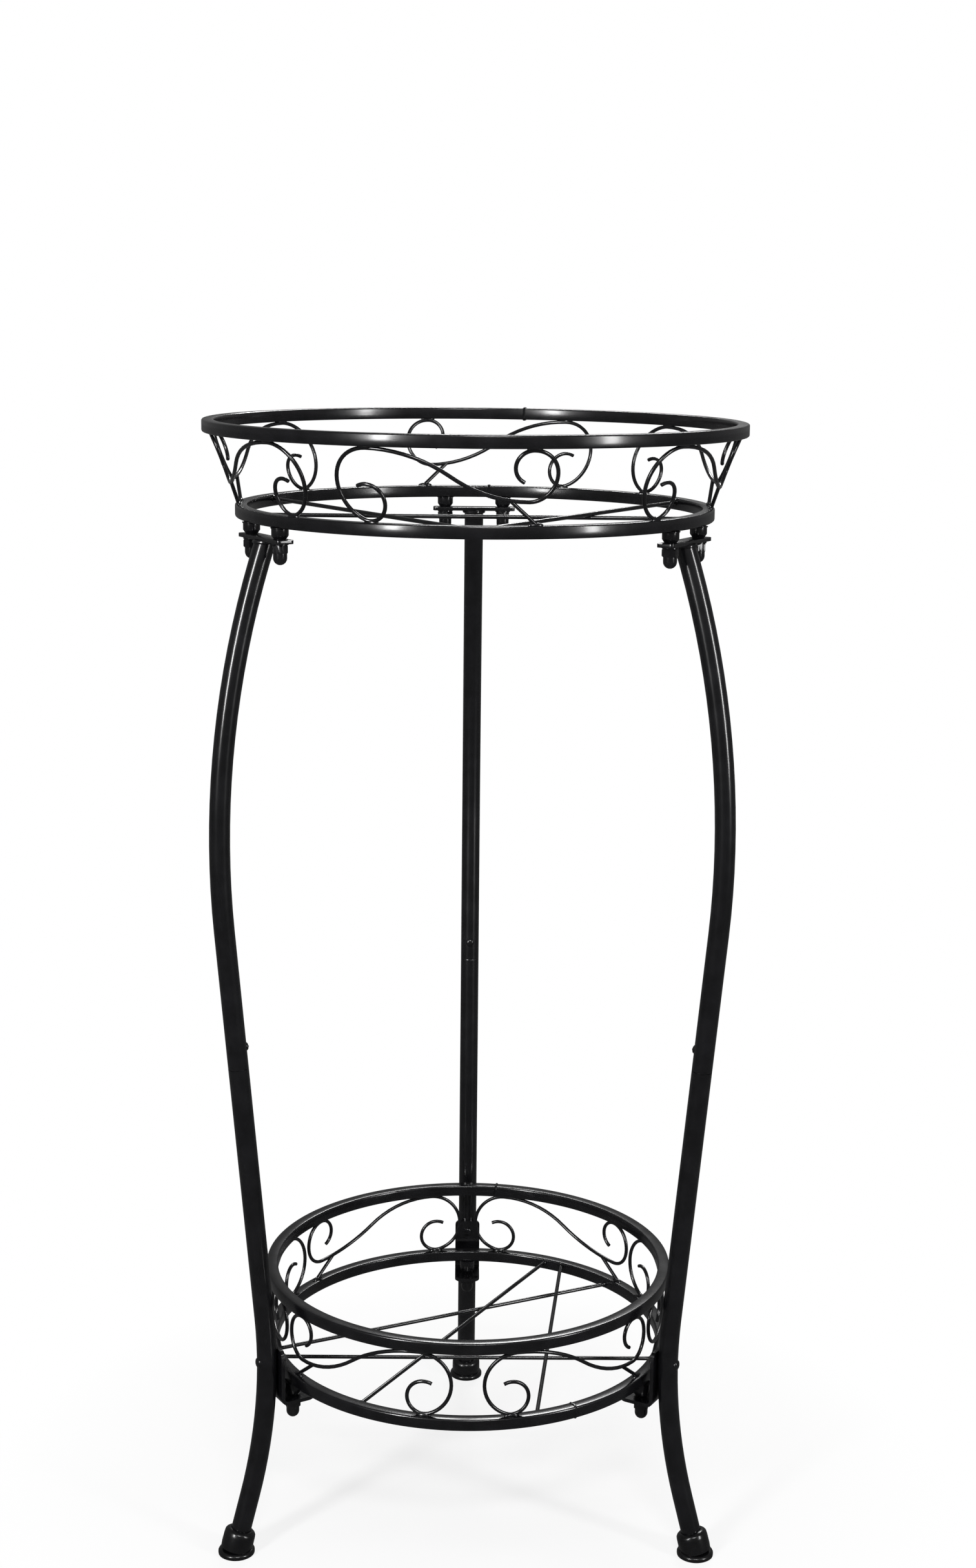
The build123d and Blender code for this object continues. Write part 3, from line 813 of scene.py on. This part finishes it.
@dataclass
class Fittings:
    """Studs, brackets, washers, domed nuts and screws that bolt the trays to the legs."""

    stand: Stand
    legs: LegSet
    boss: float = 6.5
    neck: float = 4.6
    taper: float = 2.4
    washer_radius: float = 6.4
    across_flats: float = 11.1
    hex_height: float = 6.2
    dome: float = 5.25
    nut_height: float = 15.0
    strip_length: float = 70.0
    strip_width: float = 14.0
    strip_corner: float = 2.5
    angle_width: float = 22.0
    angle_nose: float = 16.0
    angle_corner: float = 7.0
    angle_rise: float = 10.0
    angle_bend: float = 4.5
    angle_head: float = 4.0
    stud_radius: float = 3.0
    stud_reach: float = 17.0
    weld_collar: float = 0.7
    washer_hole: float = 3.2
    washer_edge: float = 0.2
    nut_chamfer: float = 0.75
    nut_turn: float = 23.0
    bracket_head: Point = (4.0, 2.6)
    sleeve_head: Point = (4.3, 2.3)
    sleeve_sink: float = 1.0

    @property
    def leg_face(self) -> float:
        """Distance from the axis of the face on which the angle brackets' upright flanges lie."""
        return self.legs.waist - self.legs.radius * cos(pi / 12)

    def places(self, tray: str) -> list[tuple[Leg, float, float]]:
        """Leg, radial and tangential place of each stud of a tray."""
        if tray == "lower":
            return [(leg, self.stand.lower_line, 0.0) for leg in Leg]
        half = self.stand.stud_pitch / 2
        return [(leg, self.stand.top_radial, side * half) for leg in Leg for side in (-1, 1)]

    def studs(self, tray: str, ring_z: float, height: float) -> None:
        """Make the tapered bosses under one base ring, with their weld and stud."""
        mesh = bmesh.new()
        for leg, radial, tangential in self.places(tray):
            place = self.stand.upright(leg, radial, ring_z, tangential)
            outline = [
                (self.stud_radius, -height - self.stud_reach),
                (self.stud_radius, -height),
                (self.neck, -height),
                (self.neck + 0.3, 0.5 - height),
                (self.boss - 0.3, self.taper - height),
                (self.boss, self.taper + 0.6 - height),
                (self.boss, -0.9),
                (self.boss + self.weld_collar, -0.25),
                (self.boss + self.weld_collar, 0.15),
            ]
            turned(mesh, place, [(r * MM, h * MM) for r, h in outline], 36)
        dress(mesh, f"{tray}_bosses", POWDER_COAT, (f"{tray}_ring_studs",))

    def washers(self, tray: str, top: float) -> None:
        """Make the washers under one tray's brackets."""
        mesh = bmesh.new()
        radius = self.washer_radius
        edge = self.washer_edge
        thick = self.stand.washer
        outline = [
            (self.washer_hole, 0),
            (radius - edge, 0),
            (radius, -edge),
            (radius, edge - thick),
            (radius - edge, -thick),
            (self.washer_hole, -thick),
        ]
        for leg, radial, tangential in self.places(tray):
            place = self.stand.upright(leg, radial, top, tangential)
            turned(mesh, place, [(r * MM, h * MM) for r, h in outline], 36)
        dress(mesh, f"{tray}_flat_washers", COATED_FASTENER, (f"{tray}_washers",))

    def nuts(self, tray: str, top: float) -> None:
        """Make the domed nuts: a chamfered hexagon and a round closed end."""
        mesh = bmesh.new()
        corner = self.across_flats / sqrt(3)
        flat = self.across_flats / 2
        for number, (leg, radial, tangential) in enumerate(self.places(tray)):
            tightened = Matrix.Rotation(radians(self.nut_turn * number), 4, "Z")
            place = self.stand.upright(leg, radial, top, tangential) @ tightened
            outline = [
                (flat, 0.0),
                (corner, -self.nut_chamfer),
                (corner, self.nut_chamfer - self.hex_height),
                (flat, -self.hex_height),
            ]
            self.hexagon(mesh, place, outline)
            dome = [(self.dome, 0.3 - self.hex_height), (self.dome, self.dome - self.nut_height)]
            for turn in range(15, 90, 15):
                radius = self.dome * cos(radians(turn))
                dome.append((radius, self.dome - self.nut_height - self.dome * sin(radians(turn))))
            dome.append((0.0, -self.nut_height))
            turned(mesh, place, [(r * MM, h * MM) for r, h in dome], 32)
        dress(mesh, f"{tray}_cap_nuts", COATED_FASTENER, (f"{tray}_domed_nuts",), sharp=22.0)

    def hexagon(self, mesh: bmesh.types.BMesh, place: Matrix, outline: Profile) -> None:
        """Add a hexagon whose corners are turned down to the outline at both ends."""
        flat = self.across_flats / 2
        steps = 48
        rings = []
        for radius, height in outline:
            ring = []
            for step in range(steps):
                turn = 2 * pi * step / steps
                nearest = (turn + pi / 6) % (pi / 3) - pi / 6
                reach = min(radius, flat / cos(nearest))
                point = Vector((reach * cos(turn), reach * sin(turn), height)) * MM
                ring.append(mesh.verts.new(place @ point))
            rings.append(ring)
        for lower, upper in zip(rings, rings[1:]):
            for step in range(steps):
                after = (step + 1) % steps
                mesh.faces.new((lower[step], lower[after], upper[after], upper[step]))
        mesh.faces.new(rings[0])
        mesh.faces.new(rings[-1])

    def strip(self, leg: Leg) -> None:
        """Make the strip bracket across one leg top."""
        side = leg.name.lower()
        half_long = self.strip_length / 2
        half_wide = self.strip_width / 2
        cut = self.strip_corner
        outline = []
        for long_way, wide_way in ((1, 1), (-1, 1), (-1, -1), (1, -1)):
            for step in range(5):
                turn = atan2(wide_way, long_way) - radians(45) + radians(22.5 * step)
                x = long_way * (half_long - cut) + cut * cos(turn)
                outline.append((x, wide_way * (half_wide - cut) + cut * sin(turn)))
        place = self.stand.upright(leg, self.stand.top_radial, self.stand.upper_plate)
        points = [place @ (Vector((x, y, 0)) * MM) for x, y in outline]
        mesh = bmesh.new()
        bevelled_plate(mesh, points, Vector((0, 0, self.stand.plate * MM)))
        dress(mesh, f"strip_bracket_{side}", POWDER_COAT, (f"top_bracket_{side}",))

    def angle(self, leg: Leg) -> None:
        """Make the bent angle bracket on one leg's inner side."""
        side = leg.name.lower()
        thick = self.stand.plate
        leg_face = self.leg_face
        low = self.stand.lower_plate
        top = self.legs.waist_z + self.angle_rise
        nose = self.stand.lower_line - self.angle_nose
        inner = self.angle_bend - thick / 2
        outer = self.angle_bend + thick / 2
        centre = (leg_face - outer, low + outer)
        turns = [radians(-90 + 15 * step) for step in range(7)]
        inside = [(nose, low + thick)]
        inside += [(centre[0] + inner * cos(turn), centre[1] + inner * sin(turn)) for turn in turns]
        inside.append((leg_face - thick, top))
        outside = [(nose, low)]
        outside += [(centre[0] + outer * cos(turn), centre[1] + outer * sin(turn)) for turn in turns]
        outside.append((leg_face, top))
        half = self.angle_width / 2
        lengths = [0.0]
        for one, other in zip(outside, outside[1:]):
            lengths.append(lengths[-1] + hypot(other[0] - one[0], other[1] - one[1]))
        stations = self.stations(lengths[-1])
        mesh = bmesh.new()
        rings = []
        for station in stations:
            index = max(i for i in range(len(lengths) - 1) if lengths[i] <= station + 1e-9)
            share = (station - lengths[index]) / (lengths[index + 1] - lengths[index])
            near = [inside[index][k] + (inside[index + 1][k] - inside[index][k]) * share for k in (0, 1)]
            far = [outside[index][k] + (outside[index + 1][k] - outside[index][k]) * share for k in (0, 1)]
            width = self.half_width(station, lengths[-1], half)
            corners = ((near, width), (near, -width), (far, -width), (far, width))
            rings.append([mesh.verts.new(self.stand.leg_point(leg, p[0], p[1], w)) for p, w in corners])
        for lower, upper in zip(rings, rings[1:]):
            for step in range(4):
                after = (step + 1) % 4
                mesh.faces.new((lower[step], lower[after], upper[after], upper[step]))
        mesh.faces.new(rings[0])
        mesh.faces.new(rings[-1])
        dress(mesh, f"bent_bracket_{side}", POWDER_COAT, (f"angle_bracket_{side}",))

    def stations(self, length: float) -> list[float]:
        """Distances along the strip at which the angle bracket's sections are drawn."""
        nose = [self.angle_corner * (1 - cos(radians(15 * step))) for step in range(7)]
        head = [length - self.angle_head * (1 - cos(radians(90 - 18 * step))) for step in range(6)]
        middle = [nose[-1] + (head[0] - nose[-1]) * step / 24 for step in range(1, 24)]
        return nose + middle + head

    def half_width(self, station: float, length: float, half: float) -> float:
        """Half width of the angle bracket at a distance along it, rounded at both ends."""
        if station < self.angle_corner:
            across = 1 - station / self.angle_corner
            return half - self.angle_corner + self.angle_corner * sqrt(max(0.0, 1 - across**2))
        if length - station < self.angle_head:
            across = 1 - (length - station) / self.angle_head
            return half - self.angle_head + self.angle_head * sqrt(max(0.0, 1 - across**2))
        return half

    def through_screw(self, leg: Leg) -> None:
        """Make the screw head on the bracket and the sleeve nut's head on the leg's outer side."""
        side = leg.name.lower()
        leg_face = self.leg_face
        seat = self.stand.leg_point(leg, leg_face - self.stand.plate, self.legs.waist_z)
        inwards = self.stand.leg_point(leg, 0, self.legs.waist_z) - seat
        mesh = bmesh.new()
        turned(mesh, self.stand.along(seat, inwards), round_head(*self.bracket_head), 32)
        raised_cross(mesh, self.stand.along(seat, inwards), self.bracket_head[1])
        dress(mesh, f"bracket_screw_head_{side}", COATED_FASTENER, (f"bracket_screw_{side}",))
        outer = self.legs.waist + self.legs.radius - self.sleeve_sink
        seat = self.stand.leg_point(leg, outer, self.legs.waist_z)
        mesh = bmesh.new()
        turned(mesh, self.stand.along(seat, -inwards), round_head(*self.sleeve_head), 32)
        dress(mesh, f"sleeve_nut_head_{side}", COATED_FASTENER, (f"sleeve_nut_{side}",))

    def build(self) -> None:
        """Make every fitting."""
        self.studs("upper", self.stand.upper_base_z, self.stand.upper_boss)
        self.studs("lower", self.stand.lower_base_z, self.stand.lower_boss)
        self.washers("upper", self.stand.upper_plate)
        self.washers("lower", self.stand.lower_plate)
        self.nuts("upper", self.stand.upper_plate - self.stand.washer)
        self.nuts("lower", self.stand.lower_plate - self.stand.washer)
        for leg in Leg:
            self.strip(leg)
            self.angle(leg)
            self.through_screw(leg)


@dataclass
class Studio:
    """Floor, light and the camera at the photograph's place."""

    stand: Stand
    distance: float = 1.832
    height: float = 0.995
    azimuth: float = -0.275
    yaw: float = 0.665
    pitch: float = 11.72
    roll: float = 0.61
    focal_pixels: float = 3612.0
    image_height: float = 2429.0
    sensor: float = 36.0
    floor_size: float = 40.0
    aim_height: float = 0.5
    room_strength: float = 0.14
    shadow_reach: Point = (0.1, 0.42)
    shadow_share: float = 0.7

    def camera(self) -> None:
        """Place the camera that the photograph was taken with."""
        yaw, pitch, roll = radians(self.yaw), radians(self.pitch), radians(self.roll)
        forward = Vector((sin(yaw) * cos(pitch), cos(yaw) * cos(pitch), -sin(pitch)))
        right = Vector((cos(yaw), -sin(yaw), 0))
        up = right.cross(forward)
        image_right = right * cos(roll) + up * sin(roll)
        image_up = up * cos(roll) - right * sin(roll)
        data = bpy.data.cameras.new("camera")
        data.sensor_fit = "VERTICAL"
        data.sensor_height = self.sensor
        data.lens = self.focal_pixels * self.sensor / self.image_height
        data.clip_end = 50.0
        made = bpy.data.objects.new("camera", data)
        turn = radians(self.azimuth)
        place = Matrix((image_right, image_up, -forward)).transposed().to_4x4()
        place.translation = Vector(
            (self.distance * sin(turn), self.stand.axis_y * MM - self.distance * cos(turn), self.height)
        )
        made.matrix_world = place
        bpy.context.scene.collection.objects.link(made)
        bpy.context.scene.camera = made

    def floor(self) -> None:
        """Lay a large pale floor, white to the camera except for the shadow."""
        bpy.ops.mesh.primitive_plane_add(size=self.floor_size, location=(0, 0, 0))
        floor = bpy.context.object
        floor.name = "floor"
        made = bpy.data.materials.new("pale_floor")
        made.use_nodes = True
        nodes = made.node_tree.nodes
        links = made.node_tree.links
        shader = nodes["Principled BSDF"]
        shader.inputs["Roughness"].default_value = 0.9
        shader.inputs["Specular IOR Level"].default_value = 0.1
        noise = nodes.new("ShaderNodeTexNoise")
        noise.inputs["Scale"].default_value = 3.0
        ramp = nodes.new("ShaderNodeValToRGB")
        ramp.color_ramp.elements[0].color = (0.94, 0.94, 0.94, 1)
        ramp.color_ramp.elements[1].color = (0.96, 0.96, 0.96, 1)
        links.new(noise.outputs["Fac"], ramp.inputs["Fac"])
        links.new(ramp.outputs["Color"], shader.inputs["Base Color"])
        self.whiten(nodes, links, shader)
        floor.data.materials.append(made)

    def whiten(self, nodes: bpy.types.Nodes, links: bpy.types.NodeLinks, shader: bpy.types.Node) -> None:
        """Turn the floor white to the camera away from the stand's own shadow.

        Args:
            nodes: Nodes of the floor's material.
            links: Its links.
            shader: The floor's own surface.
        """
        place = nodes.new("ShaderNodeNewGeometry")
        length = nodes.new("ShaderNodeVectorMath")
        length.operation = "LENGTH"
        links.new(place.outputs["Position"], length.inputs[0])
        fade = nodes.new("ShaderNodeMapRange")
        fade.inputs["From Min"].default_value = self.shadow_reach[0]
        fade.inputs["From Max"].default_value = self.shadow_reach[1]
        fade.inputs["To Min"].default_value = self.shadow_share
        fade.inputs["To Max"].default_value = 1.0
        links.new(length.outputs["Value"], fade.inputs["Value"])
        ray = nodes.new("ShaderNodeLightPath")
        share = nodes.new("ShaderNodeMath")
        share.operation = "MULTIPLY"
        links.new(fade.outputs["Result"], share.inputs[0])
        links.new(ray.outputs["Is Camera Ray"], share.inputs[1])
        white = nodes.new("ShaderNodeEmission")
        white.inputs["Color"].default_value = (1, 1, 1, 1)
        mixed = nodes.new("ShaderNodeMixShader")
        links.new(share.outputs["Value"], mixed.inputs["Fac"])
        links.new(shader.outputs["BSDF"], mixed.inputs[1])
        links.new(white.outputs["Emission"], mixed.inputs[2])
        grey = nodes.new("ShaderNodeEmission")
        grey.inputs["Color"].default_value = (0.1, 0.1, 0.1, 1)
        mirrored = nodes.new("ShaderNodeMixShader")
        links.new(ray.outputs["Is Glossy Ray"], mirrored.inputs["Fac"])
        links.new(mixed.outputs["Shader"], mirrored.inputs[1])
        links.new(grey.outputs["Emission"], mirrored.inputs[2])
        links.new(mirrored.outputs["Shader"], nodes["Material Output"].inputs["Surface"])

    def lights(self) -> None:
        """Light the stand softly from the white surroundings and from four large lamps."""
        world = bpy.data.worlds.new("white_room")
        world.use_nodes = True
        nodes = world.node_tree.nodes
        links = world.node_tree.links
        background = nodes["Background"]
        ray = nodes.new("ShaderNodeLightPath")
        reach = nodes.new("ShaderNodeMapRange")
        reach.inputs["To Min"].default_value = self.room_strength
        reach.inputs["To Max"].default_value = 1.0
        links.new(ray.outputs["Is Camera Ray"], reach.inputs["Value"])
        links.new(reach.outputs["Result"], background.inputs["Strength"])
        background.inputs["Color"].default_value = (1, 1, 1, 1)
        bpy.context.scene.world = world
        lamps = (
            ("key_lamp", (-1.7, -2.2, 1.5), 60.0, (0.35, 1.6)),
            ("fill_lamp", (2.2, -1.6, 1.2), 34.0, (0.3, 1.5)),
            ("front_lamp", (0.3, -2.6, 2.6), 34.0, (0.9, 0.3)),
            ("back_lamp", (0.4, 2.4, 2.3), 30.0, (1.2, 0.4)),
        )
        for name, place, power, size in lamps:
            data = bpy.data.lights.new(name, "AREA")
            data.energy = power
            data.shape = "RECTANGLE"
            data.size, data.size_y = size
            lamp = bpy.data.objects.new(name, data)
            lamp.location = place
            aim = Vector((0, 0, self.aim_height)) - Vector(place)
            lamp.rotation_euler = aim.to_track_quat("-Z", "Y").to_euler()
            bpy.context.scene.collection.objects.link(lamp)

    def build(self) -> None:
        """Set up the whole studio."""
        bpy.context.scene.view_settings.view_transform = "Standard"
        self.camera()
        self.floor()
        self.lights()


def main() -> None:
    """Build the stand piece by piece, then the studio."""
    logging.basicConfig(level=logging.INFO, format="%(name)s %(message)s")
    stand = Stand()
    upper = Tray(
        stand=stand,
        name="upper",
        base_z=stand.upper_base_z,
        gap=stand.upper_gap,
        base_line=stand.upper_line,
        guard_line=stand.guard_line,
        starts=((-30.4, 1), (-39.5, -1), (38.8, 1), (136.4, -1), (-136.4, 1), (149.6, 1)),
        first_wires=((-75.3, 75.3),),
        second_wires=((-1.2, -113.0), (1.2, 113.0)),
        seams=(176.0, 168.0),
    )
    lower = Tray(
        stand=stand,
        name="lower",
        base_z=stand.lower_base_z,
        gap=stand.lower_gap,
        base_line=stand.lower_line,
        guard_line=stand.lower_line,
        starts=((4.5, 1), (-4.5, -1), (119.5, -1), (-119.5, 1), (177.5, -1), (-177.5, 1)),
        first_wires=((-73.3, 73.3), (-79.0, 130.0)),
        second_wires=((-32.0, 154.0), (20.0, 148.0)),
        seams=(30.5, 171.0),
    )
    upper.build()
    lower.build()
    legs = LegSet(stand)
    for leg in Leg:
        legs.build(leg)
    Fittings(stand, legs).build()
    Studio(stand).build()


if __name__ == "__main__":
    main()
